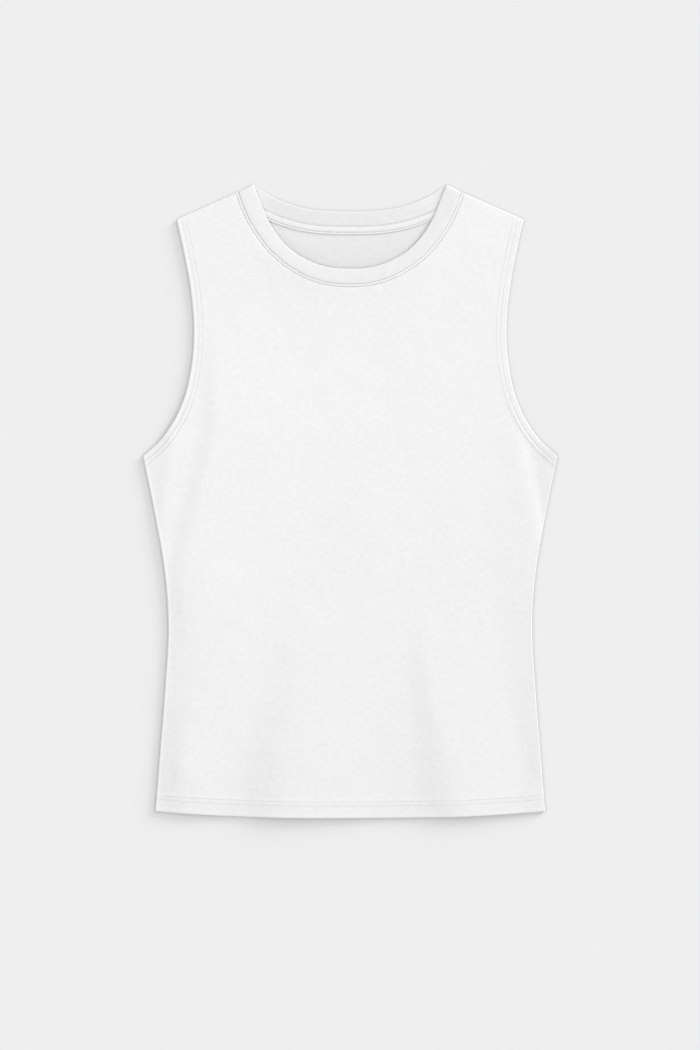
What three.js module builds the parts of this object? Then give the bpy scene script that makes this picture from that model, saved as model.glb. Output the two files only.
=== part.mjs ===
// A plain sleeveless top lying flat with its front up: two panels, a neckband folded double and a tape
// over the back neck seam. Sizes are in millimetres. X runs across the chest, Y from the hem to the neck
// and Z up. The origin lies under the middle of the garment.
import * as THREE from 'three';

// The cloth
const WALL = 1.2;
const SEAM_GAP = 0.3;
const HEM_RAISE = 0.5;
const HEM_STEP = 1.4;
const HEM_DEPTH = 16.4;
const ARMHOLE_HEM = 9.6;
const BAND_THICKNESS = 2.2;
const TAPE_WIDTH = 8.4;
const TAPE_THICKNESS = 1.0;

// The cut
const UNDERARM_Y = 45;
const TIP = { x: 173.8, y: 281.5 };
const NECK_CORNER = { x: 111.5, y: 309.0 };
const BAND_TOP = { x: 96.5, y: 316.7 };
const HEM = { centreY: -316.7, sideRise: 6.7, halfWidth: 192, power: 2.6 };

// How the panels lie: heights are those of the middle of a panel's wall
const BACK_HEIGHT = WALL / 2;
const FRONT_HEIGHT = 3.5;
const SEAM_HEIGHT = 1.9;
const ROLL_WIDTH = 3;
const BAND_ROLL = 1.5;
const BAND_STAND = { height: 1.9, from: 89.5, reach: 34 };
const EDGE_LIFT = { height: 0.5, reach: 9 };
const SHOULDER_FALL = { height: 0.4, reach: 4.5 };
const NECK_LIFT = { height: 1.7, reach: 30, shoulderShare: 0.35, fromY: 225, toY: 285 };
const ROLL_ANGLES = [0, 30, 60, 90];

// Half the width of the body at each height, from the hem to the underarm
const SIDE_SEAM = [
  { y: -310, half: 195.1 },
  { y: -249, half: 190.3 },
  { y: -189, half: 185.5 },
  { y: -119, half: 182.1 },
  { y: -69, half: 185.9 },
  { y: -9, half: 196.4 },
  { y: 45, half: 207.3 },
];

// Half the width between the armholes, from the underarm to the shoulder tip
const ARMHOLE = [
  { y: 45, half: 207.3 },
  { y: 59, half: 191.9 },
  { y: 79, half: 177.3 },
  { y: 99, half: 167.6 },
  { y: 129, half: 159.9 },
  { y: 169, half: 156.5 },
  { y: 209, half: 159.4 },
  { y: 249, half: 166.6 },
  { y: 281.5, half: 173.8 },
];

// The neck curves, from the right shoulder to the centre line: x is the distance from that line
const FRONT_SEAM = [
  { x: NECK_CORNER.x, y: NECK_CORNER.y },
  { x: 105.2, y: 291.2 },
  { x: 97.5, y: 275.9 },
  { x: 83.8, y: 256.0 },
  { x: 68.5, y: 240.7 },
  { x: 47.0, y: 226.9 },
  { x: 24.1, y: 218.9 },
  { x: 0, y: 216.8 },
];
const FRONT_EDGE = [
  { x: BAND_TOP.x, y: BAND_TOP.y },
  { x: 88.4, y: 296.9 },
  { x: 82.3, y: 281.9 },
  { x: 68.9, y: 261.4 },
  { x: 55.3, y: 248.6 },
  { x: 38.9, y: 239.3 },
  { x: 20.4, y: 233.6 },
  { x: 0, y: 232.2 },
];
const BACK_SEAM = [
  { x: NECK_CORNER.x, y: NECK_CORNER.y },
  { x: 86.8, y: 292.5 },
  { x: 62.3, y: 282.4 },
  { x: 37.8, y: 276.8 },
  { x: 0, y: 275.0 },
];
const BACK_EDGE = [
  { x: BAND_TOP.x, y: BAND_TOP.y },
  { x: 80.7, y: 306.1 },
  { x: 62.3, y: 297.7 },
  { x: 40.9, y: 292.0 },
  { x: 0, y: 289.4 },
];

// The front's folds. Each crest runs from its low end to its high end and fades out past both. The cloth
// rises steeply to the crest on its left and falls off gently on its right.
const FOLDS = {
  leftHem: {
    fade: 100,
    low: { x: -67, y: -320, rise: 4.0, steep: 47, gentle: 110 },
    high: { x: -52, y: -175, rise: 1.3, steep: 44, gentle: 110 },
  },
  rightHem: {
    fade: 50,
    low: { x: 112, y: -320, rise: 3.8, steep: 50, gentle: 90 },
    high: { x: 75, y: -150, rise: 1.1, steep: 20, gentle: 90 },
  },
  leftSide: {
    fade: 120,
    low: { x: -174, y: -262, rise: 2.2, steep: 22, gentle: 45 },
    high: { x: -150, y: -130, rise: 1.5, steep: 42, gentle: 110 },
  },
  rightSide: {
    fade: 80,
    low: { x: 189, y: -258, rise: 1.0, steep: 20, gentle: 20 },
    high: { x: 184, y: -70, rise: 1.9, steep: 58, gentle: 20 },
  },
  leftUnderarm: {
    fade: 40,
    low: { x: -189, y: -35, rise: 0.8, steep: 12, gentle: 17 },
    high: { x: -177, y: 56, rise: 1.4, steep: 24, gentle: 22 },
  },
  leftChest: {
    fade: 130,
    low: { x: -163, y: -60, rise: 1.3, steep: 24, gentle: 90 },
    high: { x: -126, y: 80, rise: 2.2, steep: 36, gentle: 120 },
  },
  rightUnderarm: {
    fade: 30,
    low: { x: 183, y: -20, rise: 0.5, steep: 22, gentle: 13 },
    high: { x: 166, y: 58, rise: 0.6, steep: 26, gentle: 14 },
  },
  rightTip: {
    fade: 22,
    low: { x: 197, y: -12, rise: 0.5, steep: 7, gentle: 10 },
    high: { x: 206, y: 47, rise: 1.8, steep: 27, gentle: 10 },
  },
};

// How finely each panel is divided
const FRONT_CELLS = { shoulder: 4, neck: 17, body: 15, chest: 12 };
const BACK_CELLS = { shoulder: 3, neck: 11, body: 8, chest: 8 };

// A number's place between 0 and 1, eased at both ends
function ease(t) {
  const clamped = THREE.MathUtils.clamp(t, 0, 1);
  return clamped * clamped * (3 - 2 * clamped);
}

// A smooth curve through the rows of a table, as a function that gives one column's value at another's
function through(rows, at, value) {
  const rate = (i) => (rows[i + 1][value] - rows[i][value]) / (rows[i + 1][at] - rows[i][at]);
  const last = rows.length - 1;
  const slopes = rows.map((row, i) => {
    if (i === 0) return rate(0);
    if (i === last) return rate(last - 1);
    const before = row[at] - rows[i - 1][at];
    const after = rows[i + 1][at] - row[at];
    return (rate(i - 1) * after + rate(i) * before) / (before + after);
  });
  return (place) => {
    const clamped = THREE.MathUtils.clamp(place, rows[0][at], rows[last][at]);
    let i = 0;
    while (i < last - 1 && clamped > rows[i + 1][at]) i += 1;
    const span = rows[i + 1][at] - rows[i][at];
    const t = (clamped - rows[i][at]) / span;
    const bend = t * (1 - t) * span * ((1 - t) * (slopes[i] - rate(i)) - t * (slopes[i + 1] - rate(i)));
    return rows[i][value] + t * span * rate(i) + bend;
  };
}

// A neck curve from the right shoulder round to the left one
function neckCurve(rows) {
  const right = rows.map(({ x, y }) => new THREE.Vector3(x, y, 0));
  const left = rows.slice(0, -1).reverse().map(({ x, y }) => new THREE.Vector3(-x, y, 0));
  const curve = new THREE.CatmullRomCurve3([...right, ...left], false, 'centripetal');
  curve.arcLengthDivisions = 600;
  return curve;
}

const sideHalf = through(SIDE_SEAM, 'y', 'half');
const armholeHalf = through(ARMHOLE, 'y', 'half');
const halfWidth = (y) => (y < UNDERARM_Y ? sideHalf(y) : armholeHalf(y));
const hemY = (x) => HEM.centreY + HEM.sideRise * Math.abs(x / HEM.halfWidth) ** HEM.power;

// The top fold: the shoulder seams and, between their inner ends, the ends of the neckband
const SHOULDER_SLOPE = (NECK_CORNER.y - TIP.y) / (TIP.x - NECK_CORNER.x);
const BAND_SLOPE = (BAND_TOP.y - NECK_CORNER.y) / (NECK_CORNER.x - BAND_TOP.x);
const foldSlope = (x) => (Math.abs(x) > NECK_CORNER.x ? SHOULDER_SLOPE : BAND_SLOPE);
const foldY = (x) => NECK_CORNER.y + (NECK_CORNER.x - Math.abs(x)) * foldSlope(x);
const belowFold = (x, y) => (foldY(x) - y) / Math.hypot(1, foldSlope(x));

// How much longer a step across is than the same step square to the side edge
function edgeStretch(y) {
  const slope = (halfWidth(y + 1) - halfWidth(y - 1)) / 2;
  const armhole = y > UNDERARM_Y ? ease((y - UNDERARM_Y) / 12) : 1;
  return Math.hypot(1, slope * armhole);
}
const insideSide = (x, y) => (halfWidth(y) - Math.abs(x)) / edgeStretch(y);

// A rolled edge is a quarter of an ellipse: how far in from the edge, and how high, it is at an angle
const rollInset = (angle, width, wall) => wall / 2 + width * (1 - Math.cos(THREE.MathUtils.degToRad(angle)));
function rollShare(inset, width, wall) {
  const across = THREE.MathUtils.clamp((inset - wall / 2) / width, 0, 1);
  return Math.sqrt(1 - (1 - across) ** 2);
}

function foldHeight(x, y) {
  let height = 0;
  for (const { fade, low, high } of Object.values(FOLDS)) {
    const along = THREE.MathUtils.clamp((y - low.y) / (high.y - low.y), 0, 1);
    const here = (key) => THREE.MathUtils.lerp(low[key], high[key], along);
    const across = x - here('x');
    const profile = across < 0 ? ease(1 + across / here('steep')) : ease(1 - across / here('gentle'));
    const start = ease((y - low.y + fade) / fade);
    const end = ease((high.y + fade - y) / fade);
    height += here('rise') * profile * start * end;
  }
  return height;
}

const frontNeck = neckCurve(FRONT_SEAM);
const backNeck = neckCurve(BACK_SEAM);

// How far a point of the front lies outside the neck seam, nearly
function outsideNeck(x, y) {
  const reach = Math.hypot(x / NECK_CORNER.x, (y - NECK_CORNER.y) / (NECK_CORNER.y - FRONT_SEAM.at(-1).y));
  return Math.max(0, (reach - 1) * NECK_CORNER.x);
}

// The front's height before its edges roll down. Its right side stands up a little below the underarm, it
// falls off to the shoulder seams, and it rises to the neckband, most of all below it.
function frontHeight(x, y) {
  const rightSide = ease(x / 60) * (1 - ease((y - UNDERARM_Y + 20) / 60));
  const edgeLift = EDGE_LIFT.height * rightSide * Math.exp(-Math.max(0, insideSide(x, y)) / EDGE_LIFT.reach);
  const fall = SHOULDER_FALL.height * Math.exp(-Math.max(0, belowFold(x, y)) / SHOULDER_FALL.reach);
  const upwards = ease((y - NECK_LIFT.fromY) / (NECK_LIFT.toY - NECK_LIFT.fromY));
  const share = THREE.MathUtils.lerp(1, NECK_LIFT.shoulderShare, upwards);
  const neckLift = NECK_LIFT.height * share * Math.exp(-outsideNeck(x, y) / NECK_LIFT.reach);
  return FRONT_HEIGHT + edgeLift - fall + neckLift + foldHeight(x, y);
}

// The back of the neckband lies flat at its seam and stands up a little at its folded edge
const backSeamHeight = () => BAND_THICKNESS / 2;
function backEdgeHeight(x) {
  const stand = ease((BAND_STAND.from - Math.abs(x)) / BAND_STAND.reach);
  return BAND_THICKNESS / 2 + BAND_STAND.height * stand;
}

function frontSurface(x, y) {
  const low = SEAM_HEIGHT + SEAM_GAP / 2;
  const side = rollShare(insideSide(x, y), ROLL_WIDTH, WALL);
  const top = rollShare(belowFold(x, y), ROLL_WIDTH, WALL);
  return low + (frontHeight(x, y) - low) * side * top;
}

// The back lies flat, and turns up to meet the front at the side and shoulder seams but not at the armholes
const sewnSide = (y) => 1 - ease((y - UNDERARM_Y) / 8);
function backSurface(x, y) {
  const high = SEAM_HEIGHT - SEAM_GAP / 2;
  const side = 1 - (1 - rollShare(insideSide(x, y), ROLL_WIDTH, WALL)) * sewnSide(y);
  const top = rollShare(belowFold(x, y), ROLL_WIDTH, WALL);
  return high + (BACK_HEIGHT - high) * side * top;
}

// A closed wall from a grid of points in its middle, with a thickness to each side at every point. The wall
// stands upright where a rolled edge ends at its seam.
function wallGeometry(grid) {
  const rows = grid.length;
  const columns = grid[0].length;
  const vertices = [];
  for (const side of [1, -1]) {
    for (let j = 0; j < rows; j += 1) {
      for (let i = 0; i < columns; i += 1) {
        const left = grid[j][Math.max(i - 1, 0)].point;
        const right = grid[j][Math.min(i + 1, columns - 1)].point;
        const before = grid[Math.max(j - 1, 0)][i].point;
        const after = grid[Math.min(j + 1, rows - 1)][i].point;
        const across = right.clone().sub(left);
        const along = after.clone().sub(before);
        const { point, above, below, upright } = grid[j][i];
        const normal = across.cross(along);
        if (upright) normal.setZ(0);
        normal.normalize();
        vertices.push(...point.clone().addScaledVector(normal, side > 0 ? above : -below).toArray());
      }
    }
  }
  const upper = (j, i) => j * columns + i;
  const lower = (j, i) => (rows + j) * columns + i;
  const faces = [];
  const quad = (a, b, c, d) => faces.push(a, b, c, a, c, d);
  for (let j = 0; j < rows - 1; j += 1) {
    for (let i = 0; i < columns - 1; i += 1) {
      quad(upper(j, i), upper(j, i + 1), upper(j + 1, i + 1), upper(j + 1, i));
      quad(lower(j, i), lower(j + 1, i), lower(j + 1, i + 1), lower(j, i + 1));
    }
  }
  for (let i = 0; i < columns - 1; i += 1) {
    quad(lower(0, i), lower(0, i + 1), upper(0, i + 1), upper(0, i));
    quad(upper(rows - 1, i), upper(rows - 1, i + 1), lower(rows - 1, i + 1), lower(rows - 1, i));
  }
  for (let j = 0; j < rows - 1; j += 1) {
    quad(upper(j, 0), upper(j + 1, 0), lower(j + 1, 0), lower(j, 0));
    quad(lower(j, columns - 1), lower(j + 1, columns - 1), upper(j + 1, columns - 1), upper(j, columns - 1));
  }
  return closedGeometry(vertices, faces);
}

function closedGeometry(vertices, faces) {
  const geometry = new THREE.BufferGeometry();
  geometry.setAttribute('position', new THREE.Float32BufferAttribute(vertices, 3));
  geometry.setIndex(faces);
  geometry.computeVertexNormals();
  return geometry;
}

// The places along the neck seam, as shares of its length, at which a panel and the neckband are divided
function neckShares(curve, cells) {
  const first = rollInset(90, ROLL_WIDTH, WALL) / curve.getLength();
  return Array.from({ length: cells + 1 }, (_, i) => first + ((1 - 2 * first) * i) / cells);
}

// A point of a neck curve moved square to it, away from the neck opening
function besideNeck(curve, share, distance) {
  const tangent = curve.getTangentAt(share);
  return curve.getPointAt(share).add(new THREE.Vector3(tangent.y, -tangent.x, 0).multiplyScalar(-distance));
}

// The columns of a panel from the left edge to the right one: how far across each is at any height, where
// its upper end is, and how much of the armhole's hem it carries
function panelColumns(curve, cells) {
  const rolled = ROLL_ANGLES.map((angle) => rollInset(angle, ROLL_WIDTH, WALL));
  const insets = [...rolled, ARMHOLE_HEM, ARMHOLE_HEM + HEM_STEP];
  const innermost = insets.at(-1);
  const edge = insets.map((inset, i) => ({
    x: (y) => halfWidth(y) - inset * edgeStretch(y),
    topX: TIP.x - inset,
    topY: foldY(TIP.x - inset),
    onFold: true,
    armholeHem: i > 1 && i < insets.length - 1,
  }));
  const reach = (y) => halfWidth(y) - innermost * edgeStretch(y);
  const inner = (topX, topY, onFold) => {
    const share = topX / reach(topY);
    return { x: (y) => share * reach(y), topX, topY, onFold, armholeHem: false };
  };
  const shoulder = Array.from({ length: cells.shoulder }, (_, i) => {
    const share = (i + 1) / cells.shoulder;
    const topX = THREE.MathUtils.lerp(TIP.x - innermost, NECK_CORNER.x + SEAM_GAP / 2, share);
    return inner(topX, foldY(topX), true);
  });
  const right = [...edge, ...shoulder];
  const mirrored = (column) => ({ ...column, x: (y) => -column.x(y), topX: -column.topX });
  const neck = neckShares(curve, cells.neck * 2).map((share) => {
    const { x, y } = besideNeck(curve, share, SEAM_GAP / 2);
    return inner(x, y, false);
  });
  return [...right.map(mirrored), ...neck.reverse(), ...right.reverse()];
}

// The heights of one column's points, from the hem to its upper end
function columnHeights(column, cells) {
  const hem = hemY(column.x(HEM.centreY));
  const aboveHem = hem + HEM_DEPTH + HEM_STEP;
  const slant = Math.hypot(1, SHOULDER_SLOPE);
  const topInsets = ROLL_ANGLES.toReversed().map((angle) => {
    const inset = rollInset(angle, ROLL_WIDTH, WALL);
    return column.onFold ? inset * slant : inset - WALL / 2;
  });
  const chestTop = column.topY - topInsets[0];
  const body = Array.from({ length: cells.body }, (_, i) => {
    return THREE.MathUtils.lerp(aboveHem, UNDERARM_Y, i / cells.body);
  });
  const chest = Array.from({ length: cells.chest + 1 }, (_, i) => {
    return THREE.MathUtils.lerp(UNDERARM_Y, chestTop, (i / cells.chest) ** 1.4);
  });
  return [hem, hem + HEM_DEPTH, ...body, ...chest, ...topInsets.slice(1).map((inset) => column.topY - inset)];
}

// A panel's wall, with its turned hems standing out above it. rolledSide says at what heights its side edges
// roll all the way to the seam.
function panelGeometry(curve, cells, surface, rolledSide) {
  const columns = panelColumns(curve, cells);
  const heights = columns.map((column) => columnHeights(column, cells));
  const lastRow = heights[0].length - 1;
  const lastColumn = columns.length - 1;
  const grid = heights[0].map((_, j) => columns.map((column, i) => {
    const y = heights[i][j];
    const x = column.x(y);
    const inHem = j < 2 || (column.armholeHem && y > UNDERARM_Y);
    const onSide = (i === 0 || i === lastColumn) && rolledSide(y);
    return {
      point: new THREE.Vector3(x, y, surface(x, y)),
      above: WALL / 2 + (inHem ? HEM_RAISE : 0),
      below: WALL / 2,
      upright: onSide || (j === lastRow && column.onFold),
    };
  }));
  return wallGeometry(grid);
}

// The neckband's section, from the seam to its folded edge: shares of its width and of half its thickness
const BAND_SECTION = [
  { across: 0, inset: 0, up: -1 },
  { across: 1, inset: 1, up: -1 },
  { across: 1, inset: 0.3, up: -0.7 },
  { across: 1, inset: 0, up: 0 },
  { across: 1, inset: 0.3, up: 0.7 },
  { across: 1, inset: 1, up: 1 },
  { across: 0, inset: 0, up: 1 },
];

// One half of the neckband's sections, between the top folds and without them
function bandHalf(seam, edge, cells, seamHeight, edgeHeight) {
  return neckShares(seam, cells * 2).map((share) => {
    const outer = besideNeck(seam, share, -SEAM_GAP / 2);
    const inner = edge.getPointAt(share);
    outer.z = seamHeight(outer.x, outer.y);
    inner.z = edgeHeight(inner.x, inner.y);
    return { outer, inner };
  });
}

// The neckband's sections over one top fold, from the front half round to the back half
function bandFold(side, frontEdge, backEdge) {
  const section = (angle, seam, edge, flat) => {
    const inset = rollInset(angle, BAND_ROLL, BAND_THICKNESS);
    const from = (curve) => (side > 0 ? inset / curve.getLength() : 1 - inset / curve.getLength());
    const outer = besideNeck(seam, from(seam), -SEAM_GAP / 2);
    const inner = edge.getPointAt(from(edge));
    const turned = Math.sin(THREE.MathUtils.degToRad(angle));
    for (const point of [outer, inner]) {
      point.z = THREE.MathUtils.lerp(SEAM_HEIGHT, flat(point.x, point.y), turned);
    }
    return { outer, inner };
  };
  const descending = ROLL_ANGLES.slice(1).reverse();
  const front = descending.map((angle) => section(angle, frontNeck, frontEdge, frontHeight));
  const back = ROLL_ANGLES.map((angle) => section(angle, backNeck, backEdge, backSeamHeight));
  return [...front, ...back];
}

function neckbandGeometry(cells) {
  const frontEdge = neckCurve(FRONT_EDGE);
  const backEdge = neckCurve(BACK_EDGE);
  const sections = [
    ...bandHalf(frontNeck, frontEdge, cells.front, frontHeight, frontHeight),
    ...bandFold(-1, frontEdge, backEdge),
    ...bandHalf(backNeck, backEdge, cells.back, backSeamHeight, backEdgeHeight).reverse(),
    ...bandFold(1, frontEdge, backEdge).reverse(),
  ];
  const count = sections.length;
  const half = BAND_THICKNESS / 2;
  const vertices = [];
  sections.forEach(({ outer, inner }, i) => {
    const before = sections[(i + count - 1) % count];
    const after = sections[(i + 1) % count];
    const tangent = after.outer.clone().add(after.inner).sub(before.outer).sub(before.inner);
    const width = inner.clone().sub(outer);
    const normal = width.clone().cross(tangent).normalize();
    const inwards = width.clone().normalize();
    for (const corner of BAND_SECTION) {
      const point = outer.clone().addScaledVector(width, corner.across);
      point.addScaledVector(inwards, -corner.inset * half).addScaledVector(normal, corner.up * half);
      vertices.push(...point.toArray());
    }
  });
  const corners = BAND_SECTION.length;
  const faces = [];
  for (let i = 0; i < count; i += 1) {
    for (let k = 0; k < corners; k += 1) {
      const here = i * corners;
      const next = ((i + 1) % count) * corners;
      const up = (k + 1) % corners;
      faces.push(here + k, next + k, next + up, here + k, next + up, here + up);
    }
  }
  return closedGeometry(vertices, faces);
}

// The tape follows the back panel just below the neck seam, a seam gap above it
function tapeGeometry(cells) {
  const lift = WALL / 2 + SEAM_GAP + TAPE_THICKNESS / 2;
  const across = [TAPE_WIDTH, TAPE_WIDTH * 0.9, TAPE_WIDTH * 0.1, 0].map((inset) => inset + SEAM_GAP);
  const end = (2 * ROLL_WIDTH) / backNeck.getLength();
  const shares = Array.from({ length: cells + 1 }, (_, i) => THREE.MathUtils.lerp(1 - end, end, i / cells));
  const grid = across.map((inset, j) => shares.map((share) => {
    const point = besideNeck(backNeck, share, inset);
    point.z = BACK_HEIGHT + lift;
    const thin = j === 0 || j === across.length - 1 ? 0.8 : 1;
    return { point, above: (TAPE_THICKNESS / 2) * thin, below: TAPE_THICKNESS / 2 };
  }));
  return wallGeometry(grid);
}

function piece(name, geometry, colour) {
  const material = new THREE.MeshStandardMaterial({ color: colour, roughness: 0.9, metalness: 0 });
  const mesh = new THREE.Mesh(geometry, material);
  mesh.name = name;
  return mesh;
}

const WHITE = 0xf2f2f2;
const INSIDE_WHITE = 0xeeeeee;

const garment = new THREE.Group();
garment.add(
  piece('front', panelGeometry(frontNeck, FRONT_CELLS, frontSurface, () => true), WHITE),
  piece('back', panelGeometry(backNeck, BACK_CELLS, backSurface, (y) => sewnSide(y) > 0.5), INSIDE_WHITE),
  piece('neckband', neckbandGeometry({ front: FRONT_CELLS.neck, back: BACK_CELLS.neck }), WHITE),
  piece('back_neck_tape', tapeGeometry(26), INSIDE_WHITE),
);

export default garment;
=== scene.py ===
"""A plain white sleeveless jersey top lying flat on a pale surface, seen from straight above.

Sizes in this script are in millimetres until a mesh is made: X runs across the chest, Y from the
hem to the neck and Z up. Each panel is a thin shell on its solid's form, with its turned hems,
seams and stitch rows.
"""
import math

import bpy
import numpy as np
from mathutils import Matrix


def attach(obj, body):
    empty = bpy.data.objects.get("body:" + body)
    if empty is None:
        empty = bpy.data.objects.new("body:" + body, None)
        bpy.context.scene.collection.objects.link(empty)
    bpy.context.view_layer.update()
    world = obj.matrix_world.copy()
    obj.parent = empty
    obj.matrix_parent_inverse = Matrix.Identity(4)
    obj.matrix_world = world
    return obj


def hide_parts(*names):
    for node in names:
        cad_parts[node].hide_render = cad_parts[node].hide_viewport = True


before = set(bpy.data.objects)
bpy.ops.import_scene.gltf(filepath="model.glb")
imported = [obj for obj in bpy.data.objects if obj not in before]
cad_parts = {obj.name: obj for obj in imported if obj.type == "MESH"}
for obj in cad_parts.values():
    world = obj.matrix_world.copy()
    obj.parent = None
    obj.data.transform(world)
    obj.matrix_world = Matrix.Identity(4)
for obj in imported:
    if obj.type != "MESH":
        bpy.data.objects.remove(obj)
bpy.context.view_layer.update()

MM = 0.001

# The cut, as in the solids
UNDERARM_Y = 45.0
TIP = (173.8, 281.5)
NECK_CORNER = (111.5, 309.0)
BAND_TOP = (96.5, 316.7)
HEM_CENTRE_Y = -316.7
HEM_SIDE_RISE = 6.7
HEM_HALF = 192.0
HEM_POWER = 2.6

# How many points a curve has, how far from each edge its nearest length is worked out, and the
# distance that is given beyond that
CURVE_POINTS = 900
REACH = dict(hem=40, armhole=30, neck=30, band=40)
FAR = 1e3

# Half the width at each height: (y, half width)
SIDE_SEAM = (
    (-310, 195.1),
    (-249, 190.3),
    (-189, 185.5),
    (-119, 182.1),
    (-69, 185.9),
    (-9, 196.4),
    (45, 207.3),
)
ARMHOLE = (
    (45, 207.3),
    (59, 191.9),
    (79, 177.3),
    (99, 167.6),
    (129, 159.9),
    (169, 156.5),
    (209, 159.4),
    (249, 166.6),
    (281.5, 173.8),
)

# The neck curves from the right shoulder to the centre line: (distance from that line, y)
FRONT_SEAM = (
    NECK_CORNER,
    (105.2, 291.2),
    (97.5, 275.9),
    (83.8, 256.0),
    (68.5, 240.7),
    (47.0, 226.9),
    (24.1, 218.9),
    (0, 216.8),
)
FRONT_EDGE = (
    BAND_TOP,
    (88.4, 296.9),
    (82.3, 281.9),
    (68.9, 261.4),
    (55.3, 248.6),
    (38.9, 239.3),
    (20.4, 233.6),
    (0, 232.2),
)
BACK_SEAM = (NECK_CORNER, (86.8, 292.5), (62.3, 282.4), (37.8, 276.8), (0, 275.0))
BACK_EDGE = (BAND_TOP, (80.7, 306.1), (62.3, 297.7), (40.9, 292.0), (0, 289.4))

# How the panels lie. FRONT_HEIGHT is that of the middle of the front's wall.
HALF_WALL = 0.6
SEAM_HEIGHT = 1.9
SEAM_PART = 0.08  # from the seam's height to each panel's face there
SEAM_GAP = 0.13  # in plan, between a panel's neck edge and the neckband
UNDERARM_FADE = 12.0  # above the underarm, the length over which the side's slant comes in
FRONT_HEIGHT = 3.5
EDGE_LIFT = (0.5, 9.0)  # rise and reach of the right side's lift
# Its width of fading in from the centre, where it starts to end from the underarm, and over what
EDGE_LIFT_ENDS = (60.0, -20.0, 60.0)
SHOULDER_FALL = (0.4, 4.5)  # depth and reach
NECK_LIFT = (1.8, 27.0)  # rise and reach
NECK_LIFT_TOP = (0.4, 225.0, 60.0)  # its share beside the neck, from which y, and over how far
ROLL = 1.35  # the width over which the front rolls down to its seams
BACK_LOW = 0.18  # the height of the back's outer face above the floor
BACK_ROLL = 2.8
BACK_ROLL_FADE = 8.0
SIDE_SEAM_PAST = 4.0  # the back's side counts as sewn this far above the underarm
DOME = (0.6, 9.0, 16.0)  # rise of the back panel in the opening, and its widths at band and tape

# The cloth, its turned edges and their rims
CLOTH = 0.8
HEM_CLOTH = 1.5
EDGE_ROUND = 0.75  # radius of a turned edge
EDGE_THINNING = 1.8  # what the thickness loses for each millimetre that its face rounds down
RIM = (0.16, 1.6, 1.0)  # rise, distance from the side edge, width
RIM_SIDES = (1.8, 0.3)  # how strong it is on the left and on the right
HEM_RIM = (0.2, 1.8, 1.1)  # rise, distance from the hem, width

# The needle rows, by their distances from the edge that they follow
HEM_ROWS = (12.3, 16.5)
ARMHOLE_ROWS = (5.8, 10.1)
NECK_ROW = 2.8
ROW_SPACING = 4.25
PITCH = 2.4
HEM_RAISE = 0.25  # how much a turned hem stands up
HEM_PAST = 3.2  # how far the turned cloth goes past the inner row
ARMHOLE_RAISE = (0.1, 0.7)  # its share at an armhole, and what is added where the rows pull
PULL_END = (150.0, 100.0)  # the armholes' rows pull below this y, coming in over this length
HOLES_PAST = 6.0  # how far past the inner row a place still belongs to its rows
ROW_FADE = 3.0
UNSEWN = 50.0  # the distance across from a needle row where there is none
HOLES = (0.3, 1.0, 1.4)  # how strong the needle holes, their dent and their painted shade, are at the hem, the armholes and the neck

# How sewing shapes the cloth's face: depths or rises, and widths
HEM_PULL = 0.18  # the hem's share of what an armhole's rows do
ROW_GROOVE = (0.07, 0.09, 0.55)  # depth, what a pucker adds, width
ROW_SINK = (0.08, 1.5)
ROW_RIDGE = (0.12, 1.1)  # between the two rows
NECK_GROOVE = (0.02, 0.05, 0.5)
NECK_SINK = (0.27, 2.2)
NECK_SINK_AT_SEAM = 0.25  # the share of the sink that is left at the seam itself
NECK_BEAD = (0.14, 1.7, 0.6)  # rise, distance from the seam, width

# The stitches: length, width and height of the thread between two needle holes
STITCH = (1.75, 0.42, 0.34)
STITCH_RINGS = ((-0.82, 0.62), (-0.3, 1.0), (0.3, 1.0), (0.82, 0.62))  # place, size
STITCH_SIDES = 7
STITCH_DIP = (0.16, 0.18)  # how far it bends down over its length, and how low its ends are
STITCH_GRAIN = 7  # how the thread's grain differs from stitch to stitch
THREAD_LIFT = 0.02
FRONT_THREAD_LIFT = 0.08
TAPE_THREAD_LIFT = 0.12
# How far short of an edge's ends its rows stop
ROW_ENDS = dict(neck=2.5, hem=8.5, underarm=6.5, shoulder=6.0, tape=1.0)
THREAD_INSET = 0.9  # no stitch is nearer than this to a side edge or a top fold

# The neckband: a folded strip with an open fold
BAND_ROLL = 1.45
BAND_MIDDLE = 1.15
BAND_STAND = (1.5, 2.0, 34.0)  # rise of the back's edge, from where at the top, over how far
BAND_DROP = 0.6  # how much lower the front's inner edge lies than its seam
BAND_HALF = 0.95
BAND_CLOTH = 0.72
BAND_FOLD_CLEAR = 0.6  # between the top fold's turn and the flat strip
BAND_DIVISIONS = 12
BAND_POINTS = (170, 120)  # how many points there are along the front's half and the back's half
TURN_STEPS = 9
BAND_CROWDING = 1.3  # how much closer the divisions are by the seam
BAND_SHOULDER = (0.15, 0.55)  # how far its face sinks at the seam, and over what width
BAND_INNER_SHOULDER = 0.3
BAND_TAPER = (0.16, 4.0)
BAND_CROWN = 0.16
BAND_RIPPLES = ((0.05, 1.9, 0), (0.05, 3.1, 1))  # size, length, phase
BAND_RIPPLE_REACH = 4.0

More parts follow.
